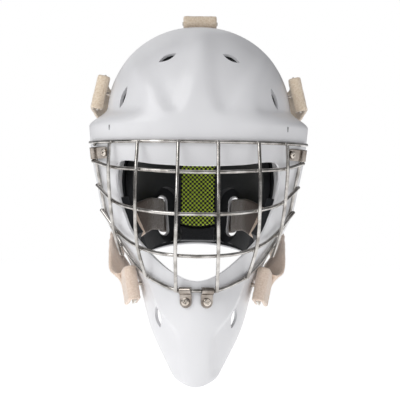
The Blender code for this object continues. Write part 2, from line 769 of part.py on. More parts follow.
def build_back_plate(white, foam, lime):
    def whole_width(z):
        span = float(plate_half_span(np.array(z)))
        return -span, span

    def whole_height(a):
        middle = (2 * a - 1) ** 2
        return -50 - 14 * middle, 136 - 26 * middle

    def middle_strip(z):
        return -PAD_SEAM + 0.9, PAD_SEAM - 0.9

    def sagged(a, low):
        return low - 3 * (1 - (2 * a - 1) ** 2)

    plate = plate_patch("backplate_shell", white, whole_width, whole_height, 0.0, PLATE_WALL, 23, 15)
    sunk = PLATE_WALL + 2.3
    plate_patch("backplate_center_pad", lime, middle_strip, lambda a: (sagged(a, -28), PAD_TOP),
                sunk, PLATE_PAD_THICK, 7, 11)
    plate_patch("backplate_nape_pad", foam, middle_strip, lambda a: (PAD_BOTTOM, sagged(a, -32)),
                sunk, PLATE_PAD_THICK, 7, 3)
    for side, word in ((-1, "left"), (1, "right")):
        def half_width_at(z, side=side):
            return side * (PAD_SEAM + 0.9), side * (float(plate_half_span(np.array(z))) - 3.5)

        pad = plate_patch(f"backplate_side_pad_{word}", foam, half_width_at,
                          lambda a: (PAD_BOTTOM - 12 * a**2, PAD_TOP - 16 * a),
                          sunk, PLATE_PAD_THICK, 10, 12)
        cut_slot(pad, side, SLOT_ROOM)
        cut_slot(plate, side, 0.0)
        frame = plate_frame(side * 18, SLOT[1], (side, 0, 0))
        cut(plate, prism(f"plate_cutter_lower_{word}", circle(SCREW_HOLE), -6, 6, frame))
    for name, (_, end_at, along) in strap_routes().items():
        if not name.startswith("lower"):
            cut(plate, prism(f"plate_cutter_{name}", circle(SCREW_HOLE), -6, 6, plate_frame(*end_at, along)))


def hang_on_hinge():
    """Parent every piece of the tilting back plate to an empty on the hinge axis."""
    hinge = bpy.data.objects.new("backplate_hinge", None)
    hinge.location = metres((0.0, *HINGE_YZ))
    bpy.context.collection.objects.link(hinge)
    bpy.context.view_layer.update()
    for piece in bpy.data.objects:
        if piece.name.startswith("backplate_") and piece != hinge or piece.name.endswith("_plate_rivet"):
            piece.parent = hinge
            piece.matrix_parent_inverse = hinge.matrix_world.inverted()


def build():
    for old in list(bpy.data.objects):
        bpy.data.objects.remove(old)
    material("cutter", (1, 0, 0), 0, 0.5)
    white = material("painted_composite", (0.83, 0.83, 0.84), 0.0, 0.16)
    steel = material("polished_stainless", (0.72, 0.71, 0.69), 1.0, 0.18)
    foam = material("black_foam", (0.018, 0.019, 0.022), 0.0, 0.75)
    lime = material("lime_mesh_foam", (0.38, 0.52, 0.05), 0.0, 0.7)
    plastic = material("white_nylon", (0.78, 0.77, 0.74), 0.0, 0.35)
    elastic = material("tan_elastic", (0.68, 0.56, 0.43), 0.0, 0.85)
    build_shell(white)
    build_liner(foam)
    build_cage(steel)
    build_clips(steel)
    build_back_plate(white, foam, lime)
    build_straps(elastic, plastic, steel)
    hang_on_hinge()


build()
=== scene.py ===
"""Looks of an ice hockey goalie mask: gloss composite shell, wire cage, elastic straps and foam pads.

The mask faces -Y. Lengths are in millimetres until a mesh is made. Every shape follows the same surfaces
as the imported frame, drawn more finely.
"""

import math

import bpy
import numpy as np
from mathutils import Matrix, Vector, noise


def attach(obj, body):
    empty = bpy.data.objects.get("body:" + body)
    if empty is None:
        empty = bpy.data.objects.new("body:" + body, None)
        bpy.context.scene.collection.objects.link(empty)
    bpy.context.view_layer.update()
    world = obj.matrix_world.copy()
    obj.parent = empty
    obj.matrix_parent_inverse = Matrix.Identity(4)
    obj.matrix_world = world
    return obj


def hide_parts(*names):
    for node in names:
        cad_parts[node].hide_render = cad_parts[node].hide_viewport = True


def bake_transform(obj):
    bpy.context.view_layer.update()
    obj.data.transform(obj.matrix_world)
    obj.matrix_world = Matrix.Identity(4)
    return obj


MM = 0.001
SHELL_WALL = 3.3
SHELL_TOP = 180.0
WIRE = 3.6
GAP = 0.35
STRAP_WIDTH = 35.0
STRAP_THICK = 4.0
PLATE_WALL = 3.0
PLATE_PAD_THICK = 8.0
HEART = np.array([0.0, -5.0, 10.0])
SHELL_AROUND = 360
SHELL_ACROSS = 104

HALF_WIDTH = [(-200, 6), (-186, 15.5), (-174, 26.3), (-156, 36.6), (-133, 47.8), (-97, 58.5), (-78, 64),
              (-60, 72), (-46, 81), (-33, 90), (-15, 98.5), (10, 104.2), (48, 111.3), (75, 114)]
FRONT_DEPTH = [(-200, 104), (-185, 108), (-140, 119.5), (-100, 128), (-85, 126.5), (-60, 122), (-20, 118),
               (34, 113), (62, 112)]
OPENING_XZ = [(0, 33.6), (42, 35), (76, 38.2), (82.5, 26), (80, 3), (74, -15), (65, -35), (45.5, -55.5),
              (22.5, -72.5), (0, -79.5)]
REAR_XYZ = [(0, 52, 170), (60, 54, 140), (95, 52, 90), (104, 48, 40), (101, 42, 0), (92, 28, -35),
            (72, -4, -66), (53.5, -54, -110), (31, -84, -158), (0, -107.5, -185.5)]
RIM_XZ = [(0, -89.4), (17, -89), (38, -81), (56, -68), (76.5, -41), (90.5, -15), (97, 16), (101.5, 40),
          (103, 53)]
TOP_BAR_Z = 57.0
LAST_STATION = len(OPENING_XZ) - 1

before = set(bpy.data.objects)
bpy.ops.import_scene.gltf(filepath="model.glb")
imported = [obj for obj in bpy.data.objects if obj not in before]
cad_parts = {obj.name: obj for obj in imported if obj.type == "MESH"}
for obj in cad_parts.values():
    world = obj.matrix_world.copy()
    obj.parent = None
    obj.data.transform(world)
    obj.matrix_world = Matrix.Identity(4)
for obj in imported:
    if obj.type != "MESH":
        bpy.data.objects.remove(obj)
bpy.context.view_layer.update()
bpy.context.scene.view_settings.view_transform = "Standard"


# Surfaces ------------------------------------------------------------------------------------------


def curve_through(points):
    """A smooth function of position through (position, value) pairs."""
    knots = np.array(points, dtype=float)
    at, value = knots[:, 0], knots[:, 1]
    slope = np.gradient(value, at)

    def read(position):
        inside = np.clip(position, at[0], at[-1])
        i = np.clip(np.searchsorted(at, inside) - 1, 0, len(at) - 2)
        step = at[i + 1] - at[i]
        u = (inside - at[i]) / step
        start = (2 * u**3 - 3 * u**2 + 1) * value[i] + (u**3 - 2 * u**2 + u) * step * slope[i]
        return start + (3 * u**2 - 2 * u**3) * value[i + 1] + (u**3 - u**2) * step * slope[i + 1]

    return read


def ramp(low, high, value):
    """0 below low, 1 above high, smooth between."""
    u = np.clip((value - low) / (high - low), 0.0, 1.0)
    return u * u * (3 - 2 * u)


def dome(size, start, power, z):
    rise = np.clip((z - start) / (SHELL_TOP - start), 0.0, 1.0)
    return size * (1 - rise**power) ** (1 / power)


lower_width = curve_through(HALF_WIDTH)
lower_depth = curve_through(FRONT_DEPTH)
widest_y = curve_through([(-200, -95), (-180, -90), (-155, -80), (-120, -60), (-70, -22), (-25, -2),
                          (0, 0)])
plate_width = curve_through([(-80, 76), (-40, 86), (20, 92), (70, 88), (110, 74), (150, 52)])
plate_depth = curve_through([(-80, 134), (-40, 146), (20, 153), (70, 150), (110, 136), (150, 106)])
plate_half_span = curve_through([(-66, 66), (-40, 75), (-10, 83), (25, 87), (60, 79), (100, 58), (140, 40)])
rim_width = curve_through(sorted((z, x) for x, z in RIM_XZ))


def half_width(z):
    flare = ramp(75, 93, z)
    return (1 - flare) * lower_width(z) + flare * dome(96, 80, 2.15, z) + 0.01


def front_depth(z):
    return np.where(z > 62, dome(112, 62, 2.3, z), lower_depth(z)) + 0.01


def outside_shell(p):
    """Above 0 outside the shell's outer surface, below 0 inside it."""
    x, y, z = np.abs(p[..., 0]), p[..., 1], p[..., 2]
    middle = widest_y(z)
    front = y < middle
    reach = np.where(front, middle + front_depth(z), dome(153, 40, 2.2, z) + 0.01)
    power = np.where(front, 2.0 + 0.35 * ramp(-30, 70, z), 2.0)
    return (x / half_width(z)) ** power + (np.abs(y - middle) / reach) ** power - 1


def outside_plate(p):
    """Above 0 outside the back plate's outer surface, below 0 inside it."""
    x, y, z = np.abs(p[..., 0]), p[..., 1], p[..., 2]
    return (x / plate_width(z)) ** 2.2 + (np.clip(y, 0, None) / plate_depth(z)) ** 2.2 - 1


def normal_at(outside, p):
    step = 0.4 * np.eye(3)
    slopes = [outside(p + step[axis]) - outside(p - step[axis]) for axis in range(3)]
    n = np.stack(slopes, axis=-1)
    return n / np.linalg.norm(n, axis=-1, keepdims=True)


def along_rays(outside, start, direction, reach=320.0):
    """Where each ray from start leaves the surface."""
    start, direction = np.broadcast_arrays(start, direction)
    near = np.zeros(direction.shape[:-1])
    far = near + reach
    for _ in range(34):
        middle = (near + far) / 2
        out = outside(start + direction * middle[..., None]) > 0
        far = np.where(out, middle, far)
        near = np.where(out, near, middle)
    return start + direction * near[..., None]


def front_point(x, z):
    """The shell's front surface straight ahead of (x, z)."""
    x, z = np.broadcast_arrays(np.asarray(x, float), np.asarray(z, float))
    start = np.stack([x, widest_y(z) - 0.01, z], axis=-1)
    return along_rays(outside_shell, start, np.array([0.0, -1.0, 0.0]), 160.0)


def side_point(y, z):
    return along_rays(outside_shell, np.array([0.0, y, z]), np.array([1.0, 0.0, 0.0]), 160.0)


def plate_point(x, z, sunk=0.0):
    x, z = np.broadcast_arrays(np.asarray(x, float), np.asarray(z, float))
    start = np.stack([x, np.zeros(x.shape), z], axis=-1)
    p = along_rays(outside_plate, start, np.array([0.0, 1.0, 0.0]), 200.0)
    return p - normal_at(outside_plate, p) * sunk


def station_curve(points):
    """A smooth curve through stations 0, 1, 2..., mirrored to negative stations."""
    table = np.array(points, dtype=float)
    last = len(points) - 1
    stations = list(range(-last, last + 1))
    axes = []
    for axis in range(table.shape[1]):
        sign = -1 if axis == 0 else 1
        values = [sign * table[-s, axis] if s < 0 else table[s, axis] for s in stations]
        low = (-last - 1, sign * values[1])
        high = (last + 1, sign * values[-2])
        axes.append(curve_through([low] + list(zip(stations, values)) + [high]))
    return lambda station: np.stack([axis(station) for axis in axes], axis=-1)


opening_xz = station_curve(OPENING_XZ)
rear_xyz = station_curve(REAR_XYZ)


def shell_rays(stations, across):
    """Directions from the heart: one row per station, across 0 (face opening) to 1 (rear edge)."""
    flat = opening_xz(stations)
    first = front_point(flat[:, 0], flat[:, 1]) - HEART
    last = rear_xyz(stations) - HEART
    first /= np.linalg.norm(first, axis=1, keepdims=True)
    last /= np.linalg.norm(last, axis=1, keepdims=True)
    angle = np.arccos(np.clip(np.sum(first * last, axis=1), -1, 1))[:, None]
    near = (np.sin((1 - across) * angle) / np.sin(angle))[..., None] * first[:, None]
    far = (np.sin(across * angle) / np.sin(angle))[..., None] * last[:, None]
    return near + far


ridge_edge = curve_through([(86, 21), (100, 15), (114, 11), (138, 8.6), (175, 7.6)])
scoop_edge = curve_through([(84, 25), (95.5, 37.6), (116, 47), (141, 65), (160, 74)])
temple_edge = curve_through([(81, 60.5), (96, 57.5), (114, 62), (131, 68.5), (144, 72), (160, 80)])
chin_edge = curve_through([(-184, 12), (-171, 14), (-145, 15), (-134, 17), (-112, 34), (-80, 49)])


def relief(p):
    """How far the outer surface is pressed in at p: brow scoops and the chin's side panels."""
    x, z = np.abs(p[..., 0]), p[..., 2]
    front = ramp(5, 45, -p[..., 1])
    brow = ramp(82, 94, z) * (1 - ramp(166, 180, z)) * front
    scoop = ramp(-0.5, 5.5, x - ridge_edge(z)) * ramp(-0.5, 5.5, scoop_edge(z) - x)
    temple = ramp(-0.5, 5.5, x - temple_edge(z)) * (1 - ramp(80, 90, x))
    chin = ramp(74, 86, -z) * (1 - ramp(168, 180, -z)) * ramp(0, 5, x - chin_edge(z)) * front
    return -5.0 * scoop * brow - 3.5 * temple * brow - 3.0 * chin


def shell_grid(stations, across, sunk, with_relief=False):
    """Points on the shell, pressed in by sunk, in rows of one station each."""
    around = (stations + LAST_STATION) % (2 * LAST_STATION) - LAST_STATION
    p = along_rays(outside_shell, HEART, shell_rays(around, across))
    pressed = relief(p) if with_relief else np.zeros(p.shape[:-1])
    for _ in range(3 if with_relief else 0):
        pressed = (np.roll(pressed, 1, axis=0) + 2 * pressed + np.roll(pressed, -1, axis=0)) / 4
        pressed[:, 1:-1] = (pressed[:, :-2] + 2 * pressed[:, 1:-1] + pressed[:, 2:]) / 4
    return p - normal_at(outside_shell, p) * (sunk - pressed)[..., None]


def smooth_path(points, count):
    """Evenly spaced points on a smooth curve through the given ones."""
    table = np.array(points, dtype=float)
    lengths = np.r_[0, np.cumsum(np.linalg.norm(np.diff(table, axis=0), axis=1))]
    axes = [curve_through(list(zip(lengths, table[:, axis]))) for axis in range(3)]
    trace = np.stack([axis(np.linspace(0, lengths[-1], 600)) for axis in axes], axis=-1)
    run = np.r_[0, np.cumsum(np.linalg.norm(np.diff(trace, axis=0), axis=1))]
    even = np.linspace(0, run[-1], count)
    return np.stack([np.interp(even, run, trace[:, axis]) for axis in range(3)], axis=-1)


def mirrored(points):
    return [np.array([-p[0], p[1], p[2]]) for p in points]


def both_sides(points):
    return mirrored(points)[:0:-1] + list(points)


def metres(p):
    return Vector((float(p[0]) * MM, float(p[1]) * MM, float(p[2]) * MM))


def local_frame(origin, along, up):
    """A matrix whose X runs along, Z points up and origin lies at the given point."""
    z = Vector([float(v) for v in up]).normalized()
    x = Vector([float(v) for v in along])
    x = (x - z * x.dot(z)).normalized()
    turn = Matrix((x, z.cross(x), z)).transposed().to_4x4()
    return Matrix.Translation(metres(origin)) @ turn


def shell_frame(p, along):
    n = normal_at(outside_shell, p)
    return local_frame(p + n * float(relief(p)), along, n)


def plate_frame(x, z, along):
    p = plate_point(x, z)
    return local_frame(p, along, normal_at(outside_plate, p))


# Making pieces -------------------------------------------------------------------------------------


def pick(*pieces):
    """Select only these pieces, the first of them active."""
    bpy.ops.object.select_all(action="DESELECT")
    for piece in pieces:
        piece.select_set(True)
    bpy.context.view_layer.objects.active = pieces[0]


def named(name):
    piece = bpy.context.object
    piece.name = name
    piece.data.name = name
    pick(piece)
    return piece


def grid_sheet(name, points, uv=None):
    """A grid primitive laid on rows of points. uv gives each point's place on the cloth, in metres."""
    rows, columns = points.shape[:2]
    bpy.ops.object.select_all(action="DESELECT")
    bpy.ops.mesh.primitive_grid_add(x_subdivisions=columns - 1, y_subdivisions=rows - 1, size=1)
    piece = named(name)
    piece.data.vertices.foreach_set("co", (points * MM).reshape(-1).astype(np.float32))
    if uv is not None:
        corners = np.empty(len(piece.data.loops), dtype=np.int32)
        piece.data.loops.foreach_get("vertex_index", corners)
        layer = piece.data.uv_layers.active
        layer.data.foreach_set("uv", uv.reshape(-1, 2)[corners].reshape(-1).astype(np.float32))
    piece.data.update()
    return piece


def in_edit(piece, work):
    """Run work on the whole of the piece's mesh in edit mode."""
    pick(piece)
    bpy.ops.object.mode_set(mode="EDIT")
    bpy.ops.mesh.select_all(action="SELECT")
    work()
    bpy.ops.object.mode_set(mode="OBJECT")


def merge(piece, distance=0.00001):
    in_edit(piece, lambda: bpy.ops.mesh.remove_doubles(threshold=distance))


def rounded(piece, width, segments):
    """Round off a piece's sharp edges."""
    finish_with(piece, "BEVEL", width=width * MM, segments=segments, limit_method="ANGLE",
                angle_limit=math.radians(60))


def tidy_normals(piece):
    in_edit(piece, lambda: bpy.ops.mesh.normals_make_consistent(inside=False))


def face_away(piece, middle):
    """Flip an open sheet's faces if they look towards the middle point."""
    centre = metres(middle)
    away = sum((f.center - centre).dot(f.normal) * f.area for f in piece.data.polygons)
    if away < 0:
        in_edit(piece, lambda: bpy.ops.mesh.flip_normals())


def finish_with(piece, kind, **settings):
    """Add a modifier with its settings and apply it."""
    pick(piece)
    modifier = piece.modifiers.new(kind.lower(), kind)
    for key, value in settings.items():
        setattr(modifier, key, value)
    bpy.ops.object.modifier_apply(modifier=modifier.name)


def smooth(piece, angle=35):
    pick(piece)
    bpy.ops.object.shade_smooth_by_angle(angle=math.radians(angle))


def cut_with(piece, cutters):
    """Take all the cutters out of the piece in one Boolean."""
    pick(*cutters)
    bpy.ops.object.join()
    cutter = bpy.context.object
    tidy_normals(cutter)
    finish_with(piece, "BOOLEAN", operation="DIFFERENCE", solver="EXACT", object=cutter)
    bpy.data.objects.remove(cutter)


def dressed(piece, finish, body, slot, *nodes):
    """Give a finished piece its material and the body it rides on, and hide the nodes it stands for. Its
    slot is not used.
    """
    piece.data.materials.clear()
    piece.data.materials.append(finish)
    if nodes:
        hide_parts(*nodes)
    if body:
        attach(piece, body)
    return piece


def prism(outline, low, high, place):
    """A cylinder primitive whose ring is moved onto the outline, from low to high along the place's Z."""
    bpy.ops.object.select_all(action="DESELECT")
    bpy.ops.mesh.primitive_cylinder_add(vertices=len(outline), radius=1, depth=2)
    piece = named("cutter")
    count = len(outline)
    for vertex in piece.data.vertices:
        turn = math.atan2(vertex.co.x, vertex.co.y) / (2 * math.pi)
        a, b = outline[round(turn * count) % count]
        vertex.co = (a * MM, b * MM, (high if vertex.co.z > 0 else low) * MM)
    piece.data.transform(place)
    return piece


def lens(length, width, points=40):
    """Two matching arcs that meet in points."""
    turns = [2 * math.pi * i / points for i in range(points)]
    return [(math.cos(t) * length / 2, math.copysign(math.sin(t) ** 2, math.sin(t)) * width / 2)
            for t in turns]


def circle(radius, points=28):
    turns = [2 * math.pi * i / points for i in range(points)]
    return [(radius * math.cos(t), radius * math.sin(t)) for t in turns]


def rounded_slot(width, height, points=40):
    """A slot with round ends, its length along the first axis."""
    radius = width / 2
    straight = height / 2 - radius
    turns = [2 * math.pi * i / points for i in range(points)]
    return [(math.copysign(straight, math.cos(t)) + radius * math.cos(t), radius * math.sin(t))
            for t in turns]


# Finishes ------------------------------------------------------------------------------------------


def linear(code):
    """An sRGB hex colour as linear RGBA."""
    parts = [int(code[i:i + 2], 16) / 255 for i in (1, 3, 5)]
    return (*[c / 12.92 if c <= 0.04045 else ((c + 0.055) / 1.055) ** 2.4 for c in parts], 1.0)


def add_node(tree, kind, settings=(), **links):
    """Add a node: settings are (property or input, value) pairs, links are input_name=socket."""
    node = tree.nodes.new(kind)
    for key, value in settings:
        if isinstance(key, int) or key in node.inputs:
            node.inputs[key].default_value = value
        else:
            setattr(node, key, value)
    for key, source in links.items():
        tree.links.new(source, node.inputs[int(key[1:]) if key[0] == "_" else key.replace("_", " ")])
    return node


def new_finish(name, **sockets):
    """A material with its Principled sockets set; with it come its tree, shader and coordinate node."""
    finish = bpy.data.materials.new(name)
    finish.use_nodes = True
    tree = finish.node_tree
    shader = tree.nodes["Principled BSDF"]
    for key, value in sockets.items():
        shader.inputs[key.replace("_", " ")].default_value = value
    return finish, tree, shader, add_node(tree, "ShaderNodeTexCoord")


def two_tones(tree, factor, low, high, start=0.35, end=0.65):
    """A colour ramp between two hex colours."""
    tones = add_node(tree, "ShaderNodeValToRGB", Fac=factor)
    tones.color_ramp.elements[0].position = start
    tones.color_ramp.elements[0].color = linear(low)
    tones.color_ramp.elements[1].position = end
    tones.color_ramp.elements[1].color = linear(high)
    return tones.outputs["Color"]


def bumped(tree, shader, height, strength, distance):
    bump = add_node(tree, "ShaderNodeBump", [("Strength", strength), ("Distance", distance)], Height=height)
    tree.links.new(bump.outputs["Normal"], shader.inputs["Normal"])


def sprayed_gloss_white(name, light, dark):
    """Two-pack paint sprayed on fibre composite: even satin-gloss white with faint orange peel."""
    finish, tree, shader, place = new_finish(name, Roughness=0.42, Coat_Weight=0.22, Coat_Roughness=0.16)
    cloud = add_node(tree, "ShaderNodeTexNoise", [("Scale", 22.0), ("Detail", 3.0)],
                     Vector=place.outputs["Object"])
    tree.links.new(two_tones(tree, cloud.outputs["Fac"], dark, light), shader.inputs["Base Color"])
    peel = add_node(tree, "ShaderNodeTexNoise", [("Scale", 420.0), ("Detail", 1.0)],
                    Vector=place.outputs["Object"])
    bumped(tree, shader, peel.outputs["Fac"], 0.04, 0.0003)
    return finish


def polished_stainless(name, light, dark, roughness):
    """Drawn stainless wire, electropolished: mirror with fine draw marks and slightly duller patches."""
    finish, tree, shader, place = new_finish(name, Metallic=1.0)
    patch = add_node(tree, "ShaderNodeTexNoise", [("Scale", 90.0), ("Detail", 4.0)],
                     Vector=place.outputs["Object"])
    tree.links.new(two_tones(tree, patch.outputs["Fac"], dark, light), shader.inputs["Base Color"])
    dull = add_node(tree, "ShaderNodeMapRange", [("To Min", roughness * 0.7), ("To Max", roughness * 1.5)],
                    Value=patch.outputs["Fac"])
    tree.links.new(dull.outputs["Result"], shader.inputs["Roughness"])
    marks = add_node(tree, "ShaderNodeTexNoise", [("Scale", 1400.0), ("Detail", 2.0)],
                     Vector=place.outputs["Object"])
    bumped(tree, shader, marks.outputs["Fac"], 0.06, 0.0001)
    return finish


def fabric_faced_foam(name, light, dark):
    """Closed-cell foam with a knitted face: nearly black, with a 1.4 mm knit and a low sheen."""
    finish, tree, shader, place = new_finish(name, Roughness=0.82, Sheen_Weight=0.25, Sheen_Roughness=0.5)
    cells = add_node(tree, "ShaderNodeTexVoronoi", [("Scale", 1 / 0.0014)], Vector=place.outputs["Object"])
    tree.links.new(two_tones(tree, cells.outputs["Distance"], dark, light, 0.1, 0.8),
                   shader.inputs["Base Color"])
    bumped(tree, shader, cells.outputs["Distance"], 0.5, 0.0004)
    return finish


def spotted_mesh_foam(name, spot, ground):
    """Printed spacer mesh: lime spots on black in a diagonal lattice, 4.4 mm from row to row."""
    finish, tree, shader, place = new_finish(name, Roughness=0.75, Sheen_Weight=0.15)
    parts = add_node(tree, "ShaderNodeSeparateXYZ", Vector=place.outputs["Object"])
    waves = []
    for axis in ("X", "Z"):
        scaled = add_node(tree, "ShaderNodeMath", [("operation", "MULTIPLY"), (1, 2 * math.pi / 0.0048)],
                          _0=parts.outputs[axis])
        waves.append(add_node(tree, "ShaderNodeMath", [("operation", "SINE")], _0=scaled.outputs[0]))
    both = add_node(tree, "ShaderNodeMath", [("operation", "MULTIPLY")], _0=waves[0].outputs[0],
                    _1=waves[1].outputs[0])
    tree.links.new(two_tones(tree, both.outputs[0], ground, spot, 0.02, 0.14), shader.inputs["Base Color"])
    bumped(tree, shader, both.outputs[0], 0.4, 0.0004)
    return finish


def brushed_plush(name, light, dark, sheen=0.6, painted_shade_stretch=0.0):
    """Elastic webbing with a brushed loop face: soft tufts 1 to 2 mm across and a strong sheen.
    When a stretch length is given, the strap's last stretch of that many metres is painted dark grey-brown:
    painted shade where the strap runs inside the mask."""
    finish, tree, shader, place = new_finish(name, Roughness=0.95, Sheen_Weight=sheen, Sheen_Roughness=0.45)
    tufts = add_node(tree, "ShaderNodeTexNoise", [("Scale", 620.0), ("Detail", 6.0), ("Roughness", 0.65)],
                     Vector=place.outputs["UV"])
    brushed = two_tones(tree, tufts.outputs["Fac"], dark, light, 0.3, 0.62)
    if painted_shade_stretch:
        run = add_node(tree, "ShaderNodeSeparateXYZ", Vector=place.outputs["UV"])
        painted_shade_mask = add_node(tree, "ShaderNodeMath", [("operation", "LESS_THAN"), (1, painted_shade_stretch)],
                             _0=run.outputs["Y"])
        # Painted shade: the dark grey-brown colour of the strap's last stretch inside the mask.
        ground = add_node(tree, "ShaderNodeMix", [("data_type", "RGBA"), (7, linear("#5A4E46"))],
                          _0=painted_shade_mask.outputs[0])
        tree.links.new(brushed, ground.inputs[6])
        brushed = ground.outputs[2]
    tree.links.new(brushed, shader.inputs["Base Color"])
    bumped(tree, shader, tufts.outputs["Fac"], 0.9, 0.0012)
    return finish


def moulded_plastic(name, light, dark, roughness):
    """Injection-moulded plastic: even colour with a fine matt grain."""
    finish, tree, shader, place = new_finish(name, Roughness=roughness)
    grain = add_node(tree, "ShaderNodeTexNoise", [("Scale", 900.0), ("Detail", 2.0)],
                     Vector=place.outputs["Object"])
    tree.links.new(two_tones(tree, grain.outputs["Fac"], dark, light), shader.inputs["Base Color"])
    bumped(tree, shader, grain.outputs["Fac"], 0.15, 0.0002)
    return finish


PAINT = sprayed_gloss_white("sprayed_gloss_white", "#E3E3E5", "#E0E0E2")
STEEL = polished_stainless("electropolished_stainless", "#CDCAC6", "#918D88", 0.15)
PRESSED = polished_stainless("pressed_stainless_strip", "#B3ABA3", "#8A8179", 0.22)
SCREW = polished_stainless("turned_stainless", "#D8D0C6", "#B9AFA4", 0.2)
FOAM = fabric_faced_foam("knit_faced_foam", "#1E2126", "#0E1013")
LIME = spotted_mesh_foam("printed_spacer_mesh", "#CDE748", "#17191C")
PLUSH = brushed_plush("brushed_elastic", "#EEDFCB", "#D3BC9F")
# The lower straps' plush: a lighter copy of the brushed face, painted light against the shell's shade, with
# painted shade on its last 0.11 m inside the mask.
LIGHTENED_PLUSH_WITH_PAINTED_SHADE_END = brushed_plush("brushed_elastic_lightened_with_painted_shade_end", "#F2E0D0", "#DAC1AD", painted_shade_stretch=0.11)
NYLON = moulded_plastic("moulded_nylon", "#DEDBD4", "#D2CFC8", 0.4)
# A dark colour for the sheet that is painted shade on the back plate's inner face.
PAINTED_SHADE_SHEET = moulded_plastic("dark_plastic_for_painted_shade", "#1B1E23", "#121417", 0.5)


# Shell ---------------------------------------------------------------------------------------------

VENTS = [
    ("brow", 33.7, 146.6, 20, 8.5, 31),
    ("side", 79.5, 104, 24, 8.5, 66),
    ("chin", 40.5, -117, 22, 10, -70),
]
CLIP_SCREWS = {"chin": (10.0, -100.0), "temple": (93.0, 47.0)}
SCREW_HOLE = 2.6
KEEPER_HALF = 8.0
LOWER_LAYER, UPPER_LAYER = 2.6, 11.5
PACKING = {"top": 0.0, "upper": 3.0, "lower": 4.4}
SIDES = ((-1, "left"), (1, "right"))


def strap_anchors():
    """Each keeper's frame: over the shell, X towards the strap's fold and Z away from the shell."""
    crown = along_rays(outside_shell, np.array([0.0, 17.0, 60.0]), np.array([0.0, 0.0, 1.0]))
    anchors = {"top": shell_frame(crown, (0, -1, 0))}
    for side, word in SIDES:
        temple = side_point(-16.0, 108.0) * np.array([side, 1, 1])
        raised = Matrix.Translation((0, 0, PACKING["upper"] * MM))
        anchors[f"upper_{word}"] = shell_frame(temple, (0, -1, 0)) @ raised
        lower = shell_frame(front_point(side * 58.4, -85.6), (-side * 0.5, -0.8, 0.28))
        anchors[f"lower_{word}"] = lower @ Matrix.Translation((0, 0, PACKING["lower"] * MM))
    return anchors


def make_shell():
    stations = np.linspace(-LAST_STATION, LAST_STATION, SHELL_AROUND + 1)
    across = np.linspace(0, 1, SHELL_ACROSS + 1)
    shell = grid_sheet("composite_shell", shell_grid(stations, across, 0.0, with_relief=True))
    merge(shell)
    face_away(shell, HEART)
    finish_with(shell, "SOLIDIFY", thickness=SHELL_WALL * MM, offset=-1, use_even_offset=True, use_rim=True)
    rounded(shell, 1.1, 3)
    cutters = []
    for _, x, z, length, width, slant in VENTS:
        for side in (-1, 1):
            lean = math.radians(slant)
            place = shell_frame(front_point(side * x, z), (-side * math.cos(lean), 0, math.sin(lean)))
            cutters.append(prism(lens(length, width), -14, 14, place))
    for x, z in CLIP_SCREWS.values():
        for side in (-1, 1):
            place = shell_frame(front_point(side * x, z), (0, 0, 1))
            cutters.append(prism(circle(SCREW_HOLE), -12, 12, place))
    for place in strap_anchors().values():
        cutters.append(prism(circle(SCREW_HOLE), -12, 12, place))
    cut_with(shell, cutters)
    smooth(shell)
    return dressed(shell, PAINT, "shell", "painted_shell", "mask_shell")


# Cage ----------------------------------------------------------------------------------------------

WIRE_STANDOFF = WIRE / 2 + 0.8
RIM_LOW = RIM_XZ[0][1]


def rim_point(x, z, lift=0.0):
    p = front_point(x, z)
    return p + normal_at(outside_shell, p) * (WIRE_STANDOFF + lift)


def cage_point(x, z, lift=0.0):
    """A point of the cage's bulging surface, lifted outward by lift."""

    def bare(px, pz):
        base = rim_point(px, pz)
        level = min(max((TOP_BAR_Z - pz) / (TOP_BAR_Z - RIM_LOW), 0.0), 1.0)
        side = min(abs(px) / float(rim_width(np.array(pz))), 1.0)
        base[1] -= 18.5 * math.sin(math.pi * level) ** 0.8 * (1 - side**4)
        return base

    p = bare(x, z)
    n = np.cross(bare(x + 1.0, z) - bare(x - 1.0, z), bare(x, z + 1.0) - bare(x, z - 1.0))
    n /= np.linalg.norm(n)
    return p + n * lift * (1 if n[1] < 0 else -1)


def cage_routes():
    """Each wire's name and the points of its centre line."""
    lap = WIRE + GAP
    routes = {"cage_rim_wire": both_sides(smooth_path([rim_point(x, z) for x, z in RIM_XZ], 90))}
    brow = [rim_point(x, TOP_BAR_Z + 0.7) for x in (0, 25, 50, 72, 90, 102, 108.5)]
    routes["cage_top_bar"] = both_sides(smooth_path(brow, 60))
    bars = {
        "cage_eye_bar": ([(0, 27.3), (30, 28), (60, 30), (84, 32.4)], 39.5),
        "cage_nose_bar": ([(0, -14), (20, -13.8), (42, -12), (62, -8.6), (84, -0.5)], 15.5),
        "cage_mouth_bar": ([(0, -55.5), (20, -54.6), (38, -52.2), (56, -46.5), (78, -32)], -9.5),
    }
    for name, (route, end_z) in bars.items():
        half = [cage_point(x, z) for x, z in route]
        half.append(rim_point(float(rim_width(np.array(end_z))), end_z, lap))
        routes[name] = both_sides(smooth_path(half, 60))
    uprights = {
        "inner": [(19.2, 55.5), (19.2, 27), (19.1, -14), (18.6, -55), (17.2, -91)],
        "middle": [(57.4, 55.5), (57.7, 29), (57, -8), (53.5, -46), (44.5, -77)],
        "outer": [(84.2, 55.5), (84.4, 33), (82.2, 1), (78, -30), (70.8, -54)],
    }
    for name, route in uprights.items():
        half = [cage_point(x, z, lap + 0.3) for x, z in route[:-1]]
        half.append(rim_point(*route[-1], lap + 0.6))
        run = smooth_path(half, 60)
        routes[f"cage_upright_{name}_right"] = run
        routes[f"cage_upright_{name}_left"] = mirrored(run)
    return {name: np.array(route) for name, route in routes.items()}


